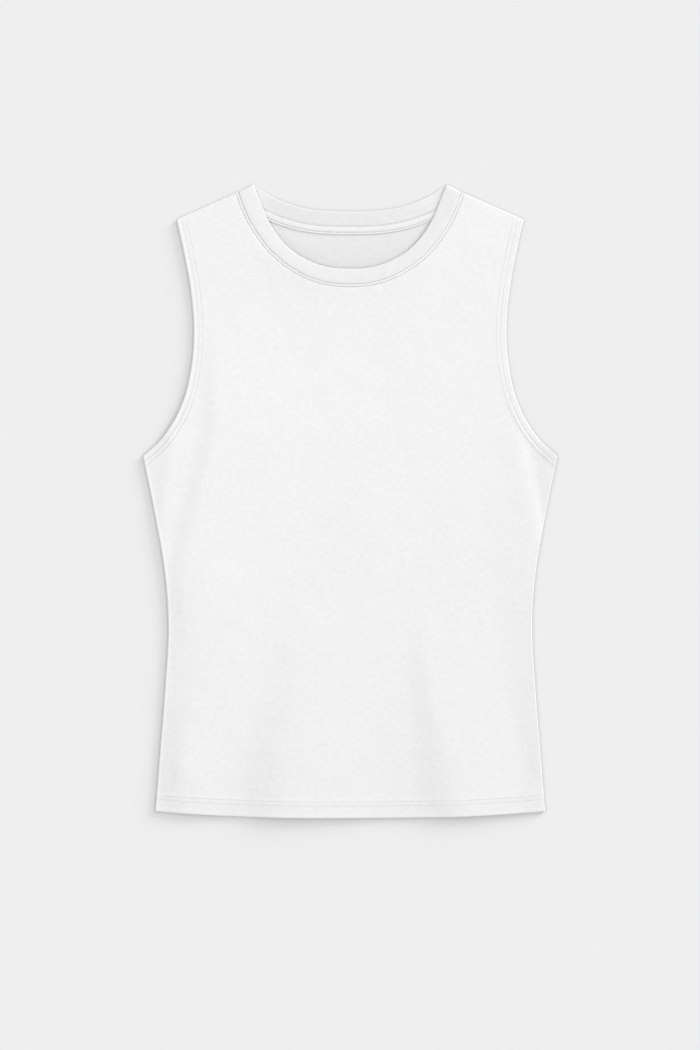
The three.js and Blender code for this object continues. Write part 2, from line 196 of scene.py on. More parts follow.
# The tape over the back neck seam
TAPE_WIDTH = 8.4
TAPE_ROWS = (0.7, 6.6)
TAPE_CLOTH = 0.8
TAPE_TUCK = 0.04  # how far it goes past the seam
TAPE_END = 7.0
TAPE_END_FADE = 8.0
TAPE_CLEAR = 0.15  # from the back panel to where its cloth starts
TAPE_UNDER = 0.02  # from the back panel to its flat underside
TAPE_PUFF = (0.34, 0.6)  # rise between its rows, and how far before the seam it starts
TAPE_GROOVE = (0.22, 0.14, 0.5)  # depth, what a pucker adds, width
TAPE_SEAM_GROOVE = 0.2  # the share of it in the row by the seam
TAPE_ROUNDS = (0.15, 0.35, 3.0)  # its edges' radius at the seam and at the far edge
TAPE_DITCH = (0.4, 0.35)  # depth and width of the back panel's dent along its far edge
TAPE_HOLES = 0.8  # how strong its needle holes, their dent and their painted shade, are
TAPE_POINTS = 300  # how many points there are along it

# The front's folds: the line along the top of each, with its low end and its high end, and how far
# it fades past them. Then its rise, its steep width to the left and its gentle width to the right,
# each at both ends.
# low (x, y), high (x, y), fade, rises, steep widths, gentle widths
FOLDS = (
    ((-67, -320), (-52, -175), 100, (4.0, 1.3), (47, 44), (110, 110)),
    ((112, -320), (75, -150), 50, (3.8, 1.1), (50, 20), (90, 90)),
    ((-165, -262), (-149, -130), 120, (2.6, 1.6), (30, 43), (52, 110)),
    ((189, -258), (184, -60), 130, (1.1, 1.8), (22, 58), (20, 20)),
    ((-189, -35), (-178, 56), 150, (0.6, 1.6), (12, 24), (80, 95)),
    ((-188, -45), (-177, 60), 40, (0.25, 0.45), (9, 14), (9, 11)),
    ((-163, -60), (-131, 72), 130, (1.4, 2.2), (20, 22), (110, 180)),
    ((183, -20), (166, 58), 30, (0.5, 0.8), (22, 26), (13, 14)),
    ((197, -12), (206, 47), 22, (0.5, 2.8), (7, 27), (10, 10)),
    ((-172, -270), (-172, -262), 12, (0.5, 0.4), (8, 7), (22, 22)),
    ((190, -268), (188, -262), 12, (0.3, 0.3), (8, 7), (12, 12)),
)

# Faint waves of the resting cloth: length, direction in degrees, phase, height
WAVES = (
    (83, 12, 0.4, 0.07),
    (61, 97, 1.9, 0.06),
    (47, 151, 3.1, 0.045),
    (34, 64, 5.2, 0.03),
    (27, 23, 2.6, 0.02),
)

# The materials: how white each is, and their knit, mottling and needle holes
OUTSIDE_WHITE = 0.83
# painted shade: the back panel's inner face, seen only in the neck opening, is given a darker grey
# for the shade of that recess under the front's band
SHADED_INSIDE_WHITE = 0.753
BAND_WHITE = 0.801
THREAD_WHITE = 0.83
CLOTH_FINISH = (0.85, 0.8)  # roughness, sheen
THREAD_FINISH = (0.6, 0.15)
SPECULAR = 0.2
SHEEN_ROUGHNESS = 0.3
BLOBS = (0.22, 1.5)  # scale, detail
CLOUDS = (0.045, 3.0)
STREAKS = (1.0, 1.0)
STREAK_STRETCH = (0.12, 0.42)  # along a streak and across it
MOTTLE_MIX = 0.9
MOTTLE_TONE = 0.1
MOTTLE_HEIGHT = 0.7
CLOUD_TONE = 0.02
PAINTED_SHADE_RISE = (0.000085, -0.00000018)  # painted shade: how the grey lightens up the garment and darkens towards the hem, and its bend
WALE_WIDTH = 0.68
COURSE_HEIGHT = 0.52
COURSE_SHARE = 0.25
KNIT_HEIGHT = 0.05
HOLE_REACH = 0.62
HOLE_SOFTNESS = 0.3
# painted shade in the needle holes: how much darker the cloth is made there
HOLE_PAINTED_SHADE = -0.5
HOLE_HEIGHT = -2.0
CLOTH_BUMP = 0.0001
TWIST = (18.0, 14.0)  # the ridges' slant: along the thread and round it
TWIST_TONE = 0.03
FUZZ = (3.0, 2.0)
FUZZ_TONE = (0.06, 0.97)
THREAD_BUMP = 0.00004

# The set: a pale floor, one soft light from the upper right, a broad one from overhead and a weak
# dome. Each light has its share of the floor's light, elevation, azimuth, spread and bounces.
IRRADIANCE = 1.078
KEY_SHARE = 0.165
DOME_SHARE = 0.37
SUNS = {
    "key": (KEY_SHARE, 18.5, 39, 25, 0),
    "overhead": (1 - KEY_SHARE - DOME_SHARE, 88, 45, 85, 1),
}
FLOOR_WHITE = 0.80
FLOOR_HALF = 40.0
CAMERA_HEIGHT = 3.0
CAMERA_FAR = 100
SENSOR_WIDTH = 36
FRAME_HEIGHT = 1.05
FRAME_CENTRE = (0.0, -0.0238)


def ease(t):
    """A number's place between 0 and 1, eased at both ends."""
    t = np.clip(t, 0, 1)
    return t * t * (3 - 2 * t)


def mix(a, b, t):
    return a + (b - a) * t


def bell(distance, width):
    return np.exp(-((distance / width) ** 2))


def through(places, values):
    """A smooth curve through a table's rows, as a function of the place."""
    places, values = np.array(places, float), np.array(values, float)
    spans = np.diff(places)
    rates = np.diff(values) / spans
    slopes = np.empty_like(values)
    slopes[0], slopes[-1] = rates[0], rates[-1]
    slopes[1:-1] = (rates[:-1] * spans[1:] + rates[1:] * spans[:-1]) / (spans[:-1] + spans[1:])

    def curve(place):
        place = np.clip(place, places[0], places[-1])
        i = np.clip(np.searchsorted(places, place) - 1, 0, len(spans) - 1)
        t = (place - places[i]) / spans[i]
        bend = (1 - t) * (slopes[i] - rates[i]) - t * (slopes[i + 1] - rates[i])
        return values[i] + spans[i] * (t * rates[i] + t * (1 - t) * bend)

    return curve


side_half = through(*zip(*SIDE_SEAM))
armhole_half = through(*zip(*ARMHOLE))


def half_width(y):
    return np.where(y < UNDERARM_Y, side_half(y), armhole_half(y))


def hem_y(x):
    return HEM_CENTRE_Y + HEM_SIDE_RISE * np.abs(x / HEM_HALF) ** HEM_POWER


SHOULDER_SLOPE = (NECK_CORNER[1] - TIP[1]) / (TIP[0] - NECK_CORNER[0])
BAND_SLOPE = (BAND_TOP[1] - NECK_CORNER[1]) / (NECK_CORNER[0] - BAND_TOP[0])


def fold_slope(x):
    return np.where(np.abs(x) > NECK_CORNER[0], SHOULDER_SLOPE, BAND_SLOPE)


def fold_y(x):
    """The top fold: the shoulder seams and, between them, the ends of the neckband."""
    return NECK_CORNER[1] + (NECK_CORNER[0] - np.abs(x)) * fold_slope(x)


def below_fold(x, y):
    return (fold_y(x) - y) / np.hypot(1, fold_slope(x))


def edge_stretch(y):
    """How much longer a step across is than the same step square to the side edge."""
    slope = (half_width(y + 1) - half_width(y - 1)) / 2
    armhole = np.where(y > UNDERARM_Y, ease((y - UNDERARM_Y) / UNDERARM_FADE), 1)
    return np.hypot(1, slope * armhole)


def inside_side(x, y):
    return (half_width(y) - np.abs(x)) / edge_stretch(y)


class Curve:
    """A plane curve with its length: points by length, and the nearest length to a point."""

    def __init__(self, points):
        self.points = points
        steps = np.hypot(*np.diff(points, axis=0).T)
        self.lengths = np.concatenate([[0], np.cumsum(steps)])
        self.length = self.lengths[-1]
        slopes = np.gradient(points, self.lengths, axis=0)
        self.tangents = slopes / np.hypot(*slopes.T)[:, None]

    def between(self, rows, length):
        return np.stack([np.interp(length, self.lengths, c) for c in rows.T], axis=-1)

    def at(self, length):
        return self.between(self.points, length)

    def beside(self, length, distance):
        """Points to the left of the curve's run."""
        tangent = self.between(self.tangents, length)
        distance = np.asarray(distance)[..., None]
        return self.at(length) + np.stack([-tangent[..., 1], tangent[..., 0]], axis=-1) * distance

    def nearest(self, x, y, reach, side=1):
        """For each point within reach of the curve: its distance to that side, and its length
        along. Points out of reach are given as far away."""
        shape = x.shape
        x, y = x.ravel(), y.ravel()
        away = np.full(x.size, FAR)
        along = np.zeros(x.size)
        low, high = self.points.min(axis=0) - reach, self.points.max(axis=0) + reach
        near = np.flatnonzero((x > low[0]) & (x < high[0]) & (y > low[1]) & (y < high[1]))
        for part in np.array_split(near, max(1, len(near) // 4000)):
            gaps = np.stack([x[part], y[part]], axis=1)[:, None] - self.points[None]
            best = (gaps**2).sum(axis=2).argmin(axis=1)
            gap = gaps[np.arange(len(part)), best]
            tangent = self.tangents[best]
            along[part] = self.lengths[best] + (gap * tangent).sum(axis=1)
            away[part] = side * (tangent[:, 0] * gap[:, 1] - tangent[:, 1] * gap[:, 0])
        return away.reshape(shape), along.reshape(shape)


def neck_line(rows):
    """A neck curve from the left shoulder round to the right one, with the opening on its left."""
    right = np.array(rows, float)[::-1]
    left = right[:0:-1] * (-1, 1)
    knots = np.concatenate([left, right])
    gaps = np.hypot(*np.diff(knots, axis=0).T) ** 0.5
    places = np.concatenate([[0], np.cumsum(gaps)])
    dense = np.linspace(0, places[-1], CURVE_POINTS)
    return Curve(np.stack([through(places, column)(dense) for column in knots.T], axis=1))


def armhole_line(side):
    """An armhole's edge, run on past both ends so that its stitch rows can end there."""
    past_tip, outwards, past_underarm = 4, 0.22, 16
    y = np.linspace(UNDERARM_Y, TIP[1] + past_tip, 520)
    x = half_width(y) + np.where(y > TIP[1], (y - TIP[1]) * outwards, 0)
    step = np.array([x[1] - x[0], y[1] - y[0]])
    step /= np.hypot(*step)
    past = np.array([x[0], y[0]]) - np.linspace(past_underarm, 0.3, 30)[:, None] * step
    points = np.concatenate([past, np.stack([x, y], axis=1)])
    return Curve(points * (side, 1))


def hem_line():
    x = np.linspace(-200, 200, CURVE_POINTS)
    return Curve(np.stack([x, hem_y(x)], axis=1))


front_neck = neck_line(FRONT_SEAM)
front_edge = neck_line(FRONT_EDGE)
back_neck = neck_line(BACK_SEAM)
back_edge = neck_line(BACK_EDGE)
armholes = {side: armhole_line(side) for side in (-1, 1)}
hem = hem_line()


def fold_height(x, y):
    height = np.zeros(np.broadcast(x, y).shape)
    for (low_x, low_y), (high_x, high_y), fade, *sizes in FOLDS:
        along = np.clip((y - low_y) / (high_y - low_y), 0, 1)
        rise, steep, gentle = (mix(low, high, along) for low, high in sizes)
        across = x - mix(low_x, high_x, along)
        profile = np.where(across < 0, ease(1 + across / steep), ease(1 - across / gentle))
        ends = ease((y - low_y + fade) / fade) * ease((high_y + fade - y) / fade)
        height += rise * profile * ends
    return height


def outside_neck(x, y):
    """How far a point of the front lies outside the neck seam, nearly."""
    drop = NECK_CORNER[1] - FRONT_SEAM[-1][1]
    reach = np.hypot(x / NECK_CORNER[0], (y - NECK_CORNER[1]) / drop)
    return np.maximum(0, (reach - 1) * NECK_CORNER[0])


def waves(x, y):
    height = 0
    for length, direction, phase, size in WAVES:
        angle = math.radians(direction)
        run = x * math.cos(angle) + y * math.sin(angle)
        height = height + size * np.sin(2 * math.pi * run / length + phase)
    return height


def front_height(x, y):
    """The middle of the front's wall before its edges roll down."""

    def near(size, distance):
        rise, reach = size
        return rise * np.exp(-np.maximum(0, distance) / reach)

    fade_in, top, fade_out = EDGE_LIFT_ENDS
    right = ease(x / fade_in) * (1 - ease((y - UNDERARM_Y - top) / fade_out))
    beside, start, length = NECK_LIFT_TOP
    neck_share = mix(1, beside, ease((y - start) / length))
    edge_lift = near(EDGE_LIFT, inside_side(x, y)) * right
    neck_lift = near(NECK_LIFT, outside_neck(x, y)) * neck_share
    shoulder_fall = near(SHOULDER_FALL, below_fold(x, y))
    return FRONT_HEIGHT + edge_lift + neck_lift - shoulder_fall + fold_height(x, y)


def roll_share(inset, width):
    return np.sqrt(1 - (1 - np.clip(inset / width, 0, 1)) ** 2)


def edge_drop(distance, radius=EDGE_ROUND):
    """How far a rounded edge's face has come down at a distance from its end."""
    return radius * (1 - roll_share(distance, radius))


def puckers(along):
    """1 at each needle hole along a row and 0 halfway between two holes."""
    return 0.5 + 0.5 * np.cos(2 * math.pi * along / PITCH)


class Sewing:
    """Where a panel's points lie from its sewn edges, and which needle row is theirs."""

    def __init__(self, x, y, neck):
        self.hem, hem_along = hem.nearest(x, y, REACH["hem"])
        right, right_along = armholes[1].nearest(x, y, REACH["armhole"])
        left, left_along = armholes[-1].nearest(x, y, REACH["armhole"], side=-1)
        self.arm = np.minimum(right, left)
        arm_along = np.where(x > 0, right_along, left_along)
        self.neck, neck_along = neck.nearest(x, y, REACH["neck"], side=-1)
        self.pulled = ease((PULL_END[0] - y) / PULL_END[1])
        sewn = [
            (self.hem - HEM_ROWS[0], hem_along, self.hem, HEM_ROWS[1]),
            (self.arm - ARMHOLE_ROWS[0], arm_along, self.arm, ARMHOLE_ROWS[1]),
            (NECK_ROW - self.neck, neck_along, self.neck, NECK_ROW),
        ]
        shares = (HOLES[0], HOLES[1] * self.pulled, HOLES[2])
        self.strength = np.zeros(x.shape)
        self.across = np.full(x.shape, UNSEWN)
        self.along = np.zeros(x.shape)
        for (across, along, distance, last_row), share in zip(sewn, shares):
            strength = share * ease((last_row + HOLES_PAST - distance) / ROW_FADE)
            here = strength > self.strength
            self.strength = np.where(here, strength, self.strength)
            self.across = np.where(here, across, self.across)
            self.along = np.where(here, along, self.along)

    def hem_depth(self):
        """1 on the turned hems, falling to 0 just past their inner stitch rows."""
        bottom = ease((HEM_ROWS[1] + HEM_PAST - self.hem) / ROW_FADE)
        arm = ease((ARMHOLE_ROWS[1] + HEM_PAST - self.arm) / ROW_FADE)
        least, more = ARMHOLE_RAISE
        return np.maximum(bottom, arm * (least + more * self.pulled))

    def relief(self):
        """How far the sewing lifts and sinks the cloth's face."""
        pucker = puckers(self.along)
        height = HEM_RAISE * self.hem_depth()
        groove, deeper, groove_width = ROW_GROOVE
        sink, sink_width = ROW_SINK
        ridge, ridge_width = ROW_RIDGE
        twin_rows = ((self.hem, HEM_ROWS, HEM_PULL), (self.arm, ARMHOLE_ROWS, self.pulled))
        for distance, rows, strength in twin_rows:
            for row in rows:
                depth = (groove + deeper * pucker) * bell(distance - row, groove_width)
                height = height - strength * (depth + sink * bell(distance - row, sink_width))
            height = height + strength * ridge * bell(distance - sum(rows) / 2, ridge_width)
        groove, deeper, groove_width = NECK_GROOVE
        sink, reach = NECK_SINK
        rise, place, width = NECK_BEAD
        past = np.maximum(self.neck - NECK_ROW, 0)
        height = height - (groove + deeper * pucker) * bell(self.neck - NECK_ROW, groove_width)
        before = mix(NECK_SINK_AT_SEAM, 1, ease(self.neck / NECK_ROW))
        height = height - sink * np.exp(-past / reach) * before
        return height + rise * bell(self.neck - place, width)


def spaced(*stops):
    """Distances from (where, step) pairs: each stretch up to the next stop is cut into even
    steps."""
    distances = []
    for (start, step), (end, _) in zip(stops, stops[1:]):
        count = max(1, round((end - start) / step))
        distances += list(np.linspace(start, end, count, endpoint=False))
    return np.array(distances + [stops[-1][0]])


def panel_places(neck, insets, shoulder, neck_columns, tops, chest, body, hems):
    """The plan places of a panel's points: rows from the hem to the top, columns from left to
    right. They follow the edges closely, and are widest apart in the middle."""
    innermost = insets[-1]

    def reach(y):
        return half_width(y) - innermost * edge_stretch(y)

    slant = math.hypot(1, SHOULDER_SLOPE)
    edge_y = np.full((len(tops), len(insets)), TIP[1])
    for _ in range(6):
        edge_x = half_width(edge_y) - insets[None] * edge_stretch(edge_y)
        edge_y = fold_y(edge_x) - tops[:, None] * slant
    corner = neck.beside(neck.length - tops, -(tops + SEAM_GAP / 2))
    share = np.arange(1, shoulder + 1)[None] / shoulder
    shoulder_x = mix(edge_x[:, -1:], corner[:, :1], share)
    shoulder_y = mix(edge_y[:, -1:], corner[:, 1:], share)
    run = np.arange(1, neck_columns + 1)[None] / neck_columns
    lengths = mix(neck.length - tops[:, None], neck.length / 2, run)
    ring = neck.beside(lengths, -(tops[:, None] + SEAM_GAP / 2 + 0 * run))
    top_x = np.concatenate([edge_x, shoulder_x, ring[..., 0]], axis=1)
    top_y = np.concatenate([edge_y, shoulder_y, ring[..., 1]], axis=1)

    low_x, low_y = top_x[-1], top_y[-1]
    inner = np.arange(top_x.shape[1]) >= len(insets)
    inset = np.concatenate([insets, np.full(inner.sum(), innermost)])
    inward = np.where(inner, low_x / reach(low_y), 1)

    def across(y):
        return (half_width(y) - inset * edge_stretch(y)) * inward

    chest_y = mix(low_y[None], UNDERARM_Y, chest[1:, None])
    start = hem_y(across(np.full(len(inset), HEM_CENTRE_Y)))
    hem_rows = start[None] + hems[::-1, None]
    body_y = mix(UNDERARM_Y, hem_rows[0][None], body[1:-1, None])
    lower_y = np.concatenate([chest_y, body_y, hem_rows])
    lower_x = across(lower_y)
    right_x = np.concatenate([top_x, lower_x])[::-1]
    right_y = np.concatenate([top_y, lower_y])[::-1]
    x = np.concatenate([-right_x, right_x[:, -2::-1]], axis=1)
    y = np.concatenate([right_y, right_y[:, -2::-1]], axis=1)
    return x, y


def normals_of(points):
    across = np.gradient(points, axis=1)
    along = np.gradient(points, axis=0)
    normal = np.cross(across, along)
    return normal / np.linalg.norm(normal, axis=2, keepdims=True)


def grid_faces(rows, columns, start=0, flip=False):
    corner = start + np.arange(rows - 1)[:, None] * columns + np.arange(columns - 1)[None]
    quads = np.stack([corner, corner + 1, corner + columns + 1, corner + columns], axis=-1)
    quads = quads.reshape(-1, 4)
    return quads[:, ::-1] if flip else quads


def shell_faces(rows, columns):
    """A closed shell's faces: an upper grid, a lower grid and the rim that joins them."""
    below = rows * columns
    rim = np.concatenate(
        [
            np.arange(columns),
            np.arange(1, rows) * columns + columns - 1,
            (rows - 1) * columns + np.arange(columns - 2, -1, -1),
            np.arange(rows - 2, 0, -1) * columns,
        ]
    )
    after = np.roll(rim, -1)
    sides = np.stack([rim, rim + below, after + below, after], axis=1)
    upper, lower = grid_faces(rows, columns), grid_faces(rows, columns, below, flip=True)
    return np.concatenate([upper, lower, sides])


def make_object(name, vertices, faces, attributes):
    """A smooth mesh object on the root body, with its attributes as one vector for each point."""
    mesh = bpy.data.meshes.new(name)
    mesh.from_pydata((vertices * MM).tolist(), [], faces)
    mesh.polygons.foreach_set("use_smooth", np.ones(len(mesh.polygons), bool))
    for label, values in attributes.items():
        made = mesh.attributes.new(label, "FLOAT_VECTOR", "POINT")
        made.data.foreach_set("vector", np.asarray(values, np.float32).ravel())
    mesh.update()
    obj = bpy.data.objects.new(name, mesh)
    bpy.context.scene.collection.objects.link(obj)
    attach(obj, "root")
    return obj


def shell_object(name, points, normals, thickness, attributes, underside=False):
    """A closed shell between a grid of points and the same grid moved back along its normals."""
    rows, columns = points.shape[:2]
    behind = points - normals * thickness[..., None]
    vertices = np.concatenate([points.reshape(-1, 3), behind.reshape(-1, 3)])
    both = {label: np.concatenate([v.reshape(-1, 3)] * 2) for label, v in attributes.items()}
    faces = shell_faces(rows, columns)
    return make_object(name, vertices, (faces[:, ::-1] if underside else faces).tolist(), both)


def turn_level(normals, x, sewn_side):
    """Level the normals where a rolled edge ends at its seam: at the sides and the top folds."""
    for column, outwards in ((0, -1.0), (-1, 1.0)):
        normals[sewn_side[:, column], column, 2] = 0
        normals[-1, column] = (outwards, 1.0, 0.0)
    fold = np.abs(x[-1]) > NECK_CORNER[0]
    fold[0] = fold[-1] = False
    normals[-1, fold, 2] = 0
    return normals / np.linalg.norm(normals, axis=2, keepdims=True)


def front_face(x, y, sewing):
    """The height of the front's outer face, with its edges rolled down and its sewing."""
    low = SEAM_HEIGHT + SEAM_PART
    side = inside_side(x, y)
    rolled = roll_share(side, ROLL) * roll_share(below_fold(x, y), ROLL)
    rise, place, width = RIM
    rim = rise * bell(side - place, width) * np.where(x < 0, *RIM_SIDES)
    hem_rise, hem_place, hem_width = HEM_RIM
    rim = rim + hem_rise * bell(sewing.hem - hem_place, hem_width)
    face = front_height(x, y) + HALF_WALL + waves(x, y) + sewing.relief() + rim
    return low + (face - low) * rolled - edge_drop(sewing.hem)


def back_underside(x, y):
    """The height of the back's outer face, which looks down: flat, and turned up at its sewn
    edges."""
    sewn = 1 - ease((y - UNDERARM_Y) / BACK_ROLL_FADE)
    side = 1 - (1 - roll_share(inside_side(x, y), BACK_ROLL)) * sewn
    top = roll_share(below_fold(x, y), BACK_ROLL)
    return mix(SEAM_HEIGHT - SEAM_PART, BACK_LOW, side * top)


def opening_dome(x, y, from_neck):
    """How far the back panel bulges up in the neck opening, between the front's band and the
    tape."""
    rise, from_band, from_tape = DOME
    away, _ = front_edge.nearest(x, y, REACH["band"])
    edge_x, edge_y = np.array(FRONT_EDGE, float)[::-1].T
    inside = (np.abs(x) < BAND_TOP[0]) & (y > np.interp(np.abs(x), edge_x, edge_y))
    at_band = np.where(inside, ease(away / from_band), 0)
    return rise * at_band * ease((from_neck - TAPE_WIDTH) / from_tape)


# The points' spacing: (where, step) from each edge, or shares of the way down
FRONT_PLACES = dict(
    insets=spaced(
        (0, 0.12), (0.5, 0.3), (1.4, 0.7), (4.9, 0.28), (7, 0.6), (9, 0.28), (11.9, 0.8), (13.5, 1)
    ),
    shoulder=16,
    neck_columns=60,
    tops=spaced((0, 0.14), (0.6, 0.3), (2.1, 0.22), (3.6, 0.5), (6, 1.2), (14, 2)),
    chest=np.concatenate([np.linspace(0, 0.86, 46), np.linspace(0.87, 1, 18)]),
    body=np.concatenate([np.linspace(0, 0.05, 16), np.linspace(0.06, 1, 96)]),
    hems=spaced(
        (0, 0.12), (0.8, 0.5), (2.4, 1.6), (11.3, 0.28), (13.6, 0.7), (15.2, 0.28), (18.2, 1)
    ),
)
BACK_PLACES = dict(
    insets=spaced((0, 0.2), (0.8, 0.6), (5, 0.5), (7, 1), (9, 0.5), (12, 1.5), (13.5, 1)),
    shoulder=10,
    neck_columns=56,
    tops=spaced((0, 0.25), (1, 0.5), (8, 0.5), (12, 0.3), (14, 1)),
    chest=np.linspace(0, 1, 40),
    body=np.linspace(0, 1, 48),
    hems=spaced((0, 0.2), (0.8, 0.8), (11, 0.5), (18, 1)),
)


def panel_attributes(x, y, sewing):
    return {
        "grain": np.stack([x, y, 0 * x], axis=-1),
        "sewn": np.stack([sewing.along, sewing.across, sewing.strength], axis=-1),
    }


def make_front():
    x, y = panel_places(front_neck, **FRONT_PLACES)
    sewing = Sewing(x, y, front_neck)
    points = np.stack([x, y, front_face(x, y, sewing)], axis=-1)
    normals = turn_level(normals_of(points), x, np.ones_like(x, bool))
    doubled = sewing.hem_depth() * ease(inside_side(x, y) / ROLL)
    thickness = mix(CLOTH, HEM_CLOTH, doubled) - EDGE_THINNING * edge_drop(sewing.hem)
    attributes = panel_attributes(x, y, sewing)
    return shell_object("front_panel", points, normals, thickness, attributes)


def make_back():
    x, y = panel_places(back_neck, **BACK_PLACES)
    sewing = Sewing(x, y, back_neck)
    height = back_underside(x, y) + opening_dome(x, y, sewing.neck)
    points = np.stack([x, y, height], axis=-1)
    normals = turn_level(-normals_of(points), x, y < UNDERARM_Y + SIDE_SEAM_PAST)
    depth, width = TAPE_DITCH
    ditch = depth * bell(sewing.neck - TAPE_WIDTH - width, width)
    lifted = HEM_RAISE * sewing.hem_depth() * ease(inside_side(x, y) / BACK_ROLL)
    attributes = panel_attributes(x, y, sewing)
    thickness = CLOTH + lifted - ditch
    return shell_object("back_panel", points, normals, thickness, attributes, underside=True)


def band_section(width):
    """The folded strip's section: (distance from the seam, height) round its outer and then its
    inner face."""
    fold = width - BAND_HALF
    cavity = BAND_HALF - BAND_CLOTH
    across = fold[None] * np.linspace(0, 1, BAND_DIVISIONS)[:, None] ** BAND_CROWDING
    shoulder = BAND_SHOULDER[0] * bell(across, BAND_SHOULDER[1])
    inner_shoulder = BAND_INNER_SHOULDER * shoulder
    taper = BAND_TAPER[0] * (1 - ease(across / BAND_TAPER[1]))
    crown = BAND_CROWN * np.sin(math.pi * np.clip(across / width[None], 0, 1))
    turn = np.radians(np.linspace(90, -90, TURN_STEPS)[1:-1])[:, None]

    def half_round(radius, angles):
        return fold[None] + radius * np.cos(angles), radius * np.sin(angles) + 0 * fold[None]

    parts = (
        (across, BAND_HALF - shoulder - taper + crown),
        half_round(BAND_HALF, turn),
        (across[::-1], -(BAND_HALF - shoulder)[::-1]),
        (across, -cavity + inner_shoulder),
        half_round(cavity, turn[::-1]),
        (across[::-1], (cavity - inner_shoulder + crown)[::-1]),
    )
    return tuple(np.concatenate(rows) for rows in zip(*parts))


def band_half(seam, edge, count, heights):
    """The strip's outer and inner edges along one half of the neck, between its top folds."""
    first = BAND_HALF + BAND_ROLL + BAND_FOLD_CLEAR
    share = np.linspace(0, 1, count)
    outer = seam.beside(mix(first, seam.length - first, share), SEAM_GAP / 2)
    inner = edge.at(mix(first, edge.length - first, share))
    return [
        np.concatenate([place, height(place[:, 0], place[:, 1])[:, None]], axis=1)
        for place, height in zip((outer, inner), heights)
    ]


def band_fold(seam, edge, heights, at_start):
    """The strip's edges over a quarter turn, from the top fold's middle to the flat."""
    angle = np.radians(np.linspace(0, 90, TURN_STEPS))
    inset = BAND_HALF + BAND_ROLL * (1 - np.cos(angle))
    result = []
    for curve, aside, height in zip((seam, edge), (SEAM_GAP / 2, 0), heights):
        length = inset if at_start else curve.length - inset
        place = curve.beside(length, np.full(len(length), aside))
        flat = height(place[:, 0], place[:, 1])
        lifted = mix(SEAM_HEIGHT, flat, np.sin(angle))
        result.append(np.concatenate([place, lifted[:, None]], axis=1))
    return result


def band_edges():
    """The whole ring's outer and inner edge: the front, the right folds, the back and the left
    folds."""

    def back_seam_height(x, y):
        return np.full(np.shape(x), BAND_MIDDLE)

    def back_edge_height(x, y):
        """The back of the band stands up a little between the shoulders."""
        rise, start, reach = BAND_STAND
        return BAND_MIDDLE + rise * ease((BAND_TOP[0] - start - np.abs(x)) / reach)

    def front_seam_height(x, y):
        return front_height(x, y) + waves(x, y)

    def front_edge_height(x, y):
        return front_seam_height(x, y) - BAND_DROP

    front = (front_neck, front_edge)
    front_heights = (front_seam_height, front_edge_height)
    back = (back_neck, back_edge)
    back_heights = (back_seam_height, back_edge_height)
    pieces = (
        band_half(*front, BAND_POINTS[0], front_heights),
        [edge[::-1] for edge in band_fold(*front, front_heights, False)],
        [edge[1:] for edge in band_fold(*back, back_heights, False)],
        [edge[::-1] for edge in band_half(*back, BAND_POINTS[1], back_heights)],
        [edge[::-1] for edge in band_fold(*back, back_heights, True)],
        [edge[1:] for edge in band_fold(*front, front_heights, True)],
    )
    return tuple(np.concatenate(edges) for edges in zip(*pieces))


def make_neckband():
    outer, inner = band_edges()
    middle = (outer + inner) / 2
    tangent = np.roll(middle, -1, axis=0) - np.roll(middle, 1, axis=0)
    across = inner - outer
    width = np.linalg.norm(across, axis=1)
    normal = np.cross(tangent, across)
    normal /= np.linalg.norm(normal, axis=1, keepdims=True)
    steps = np.linalg.norm(np.diff(middle, axis=0), axis=1)
    along = np.concatenate([[0], np.cumsum(steps)])
    from_seam, height = band_section(width)
    ripple = sum(size * np.sin(along / length + phase) for size, length, phase in BAND_RIPPLES)
    height = height + ripple[None] * bell(from_seam, BAND_RIPPLE_REACH) * np.sign(height)
    inwards = across / width[:, None]
    points = outer[None] + inwards[None] * from_seam[..., None] + normal[None] * height[..., None]

    count, around = points.shape[:2]
    corner = np.arange(count)[:, None] * around + np.arange(around)[None]
    up = np.roll(corner, -1, axis=0)
    right, up_right = np.roll(corner, -1, axis=1), np.roll(up, -1, axis=1)
    faces = np.stack([corner, right, up_right, up], axis=-1).reshape(-1, 4)[:, ::-1]
    grain = [np.broadcast_to(along, from_seam.shape), from_seam, 0 * from_seam]
    attributes = {"grain": np.stack(grain, axis=-1)}
    return make_object("neckband_strip", points.reshape(-1, 3), faces.tolist(), attributes)


def tape_face(across, along):
    """The height of the tape's face across its width, over the back panel's inner face."""
    face = BACK_LOW + CLOTH + TAPE_CLEAR + TAPE_CLOTH
    rise, before = TAPE_PUFF
    puff = rise * np.sin(math.pi * np.clip((across + before) / (TAPE_ROWS[1] + before), 0, 1))
    depth, deeper, width = TAPE_GROOVE
    by_seam, by_edge = (bell(across - row, width) for row in TAPE_ROWS)
    groove = (depth + deeper * puckers(along)) * (TAPE_SEAM_GROOVE * by_seam + by_edge)
    from_end = np.minimum(along - TAPE_END, back_neck.length - TAPE_END - along)
    return face + puff * ease(from_end / TAPE_END_FADE) - groove


